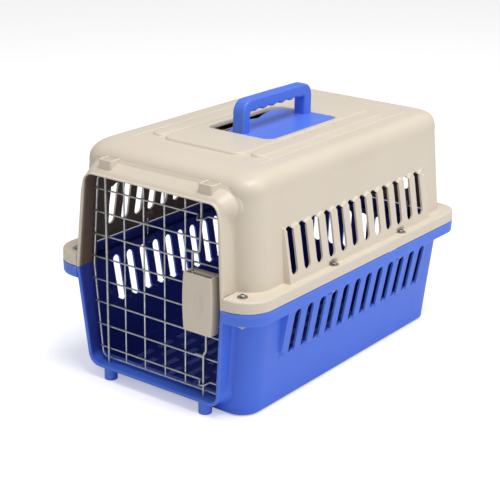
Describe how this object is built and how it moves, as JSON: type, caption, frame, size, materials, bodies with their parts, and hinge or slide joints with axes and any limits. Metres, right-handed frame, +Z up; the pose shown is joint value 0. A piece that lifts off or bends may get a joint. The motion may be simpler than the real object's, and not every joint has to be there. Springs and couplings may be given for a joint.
{
  "type": "pet transport carrier",
  "caption": "Two-part plastic carrier for a cat or small dog: slotted sides, hinged wire door with squeeze latch and bolts, carry handle on the roof.",
  "frame": {"origin": "on the floor plane, midway between the left and right sides and midway between the latch's face and the back of the flange", "axes": "+Z up, -Y towards the door, +X to the latch's side when looking at the door from behind it turned to face the viewer's right"},
  "size_m": [0.3216, 0.4824, 0.345],
  "materials": {
    "blue_plastic": "injection moulded, fine satin grain",
    "beige_plastic": "injection moulded, fine satin grain",
    "door_wire": "drawn wire, zinc plated, spot welded",
    "bolt_steel": "drawn rod, zinc plated",
    "zinc_fasteners": "zinc plated, satin",
    "spring_steel": "bright spring wire"
  },
  "bodies": {
    "shell": {"lower_shell": "blue_plastic", "upper_shell": "beige_plastic", "carry_handle": "blue_plastic", "flange_screws": "zinc_fasteners", "flange_washers": "zinc_fasteners", "flange_nuts": "zinc_fasteners"},
    "door": {"door_frame_wire": "door_wire", "door_row_wire_1": "door_wire", "door_row_wire_2": "door_wire", "door_row_wire_3": "door_wire", "door_row_wire_4": "door_wire", "door_row_wire_5": "door_wire", "door_row_wire_6": "door_wire", "door_row_wire_7": "door_wire", "door_row_wire_8": "door_wire", "door_post_wire_1": "door_wire", "door_post_wire_2": "door_wire", "door_post_wire_3": "door_wire", "door_post_wire_4": "door_wire", "door_hinge_rod": "bolt_steel", "latch_base": "beige_plastic", "latch_spring": "spring_steel"},
    "latch_slider": {"latch_cover": "beige_plastic"},
    "upper_bolt": {"upper_bolt": "bolt_steel"},
    "lower_bolt": {"lower_bolt": "bolt_steel"}
  },
  "joints": [
    {"name": "door_hinge", "type": "hinge", "parent": "shell", "child": "door", "pos_m": [-0.08, -0.22075, 0.1485], "axis": [0, 0, -1], "range_deg": [0, 120]},
    {"name": "latch_squeeze", "type": "slide", "parent": "door", "child": "latch_slider", "axis": [-1, 0, 0], "range_m": [0, 0.009], "stiffness_N_per_m": 250},
    {"name": "upper_bolt_slide", "type": "slide", "parent": "door", "child": "upper_bolt", "axis": [0, 0, -1], "range_m": [0, 0.009], "deforming": ["latch_spring"]},
    {"name": "lower_bolt_slide", "type": "slide", "parent": "door", "child": "lower_bolt", "axis": [0, 0, 1], "range_m": [0, 0.009]}
  ],
  "couplings": [
    {"joint": "upper_bolt_slide", "follows": "latch_squeeze", "ratio": 1},
    {"joint": "lower_bolt_slide", "follows": "latch_squeeze", "ratio": 1}
  ]
}
